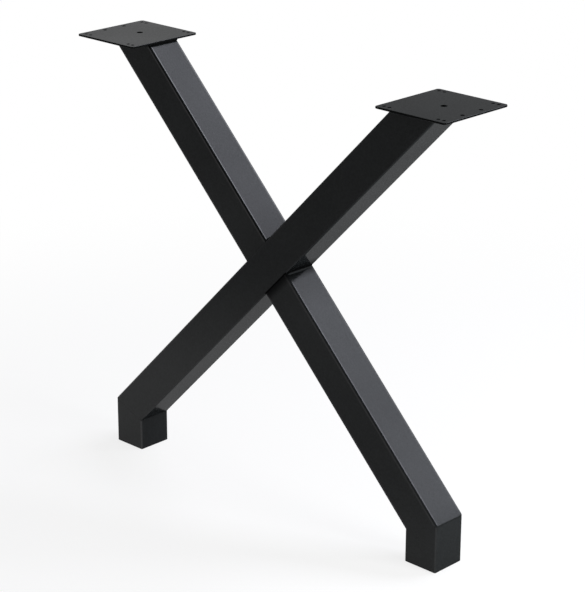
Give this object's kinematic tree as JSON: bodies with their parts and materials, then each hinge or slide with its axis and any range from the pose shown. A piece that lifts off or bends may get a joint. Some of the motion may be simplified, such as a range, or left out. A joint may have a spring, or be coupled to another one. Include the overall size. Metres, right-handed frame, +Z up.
{
  "type": "x shaped table leg",
  "caption": "Welded X shaped table leg of square steel tube, coated matt black, with short upright feet and drilled plates for the table top.",
  "frame": {"origin": "on the floor, midway between the two feet and midway through the tube's depth", "axes": "+X along the leg's width, +Y through its depth, +Z up to the table top"},
  "size_m": [0.752, 0.138, 0.7],
  "materials": {
    "tube_coating": "matt black powder coat, fine texture",
    "plate_coating": "matt black powder coat, fine texture",
    "weld_coating": "matt black powder coat over the weld bead",
    "cap_plastic": "black moulded plastic, matt"
  },
  "bodies": {
    "root": {"through_diagonal_tube": "tube_coating", "upper_half_tube": "tube_coating", "lower_half_tube": "tube_coating", "left_foot_tube": "tube_coating", "right_foot_tube": "tube_coating", "left_top_plate": "plate_coating", "right_top_plate": "plate_coating", "left_plate_weld": "weld_coating", "right_plate_weld": "weld_coating", "upper_joint_weld": "weld_coating", "lower_joint_weld": "weld_coating", "left_mitre_weld": "weld_coating", "right_mitre_weld": "weld_coating", "left_foot_cap": "cap_plastic", "right_foot_cap": "cap_plastic"}
  },
  "joints": []
}
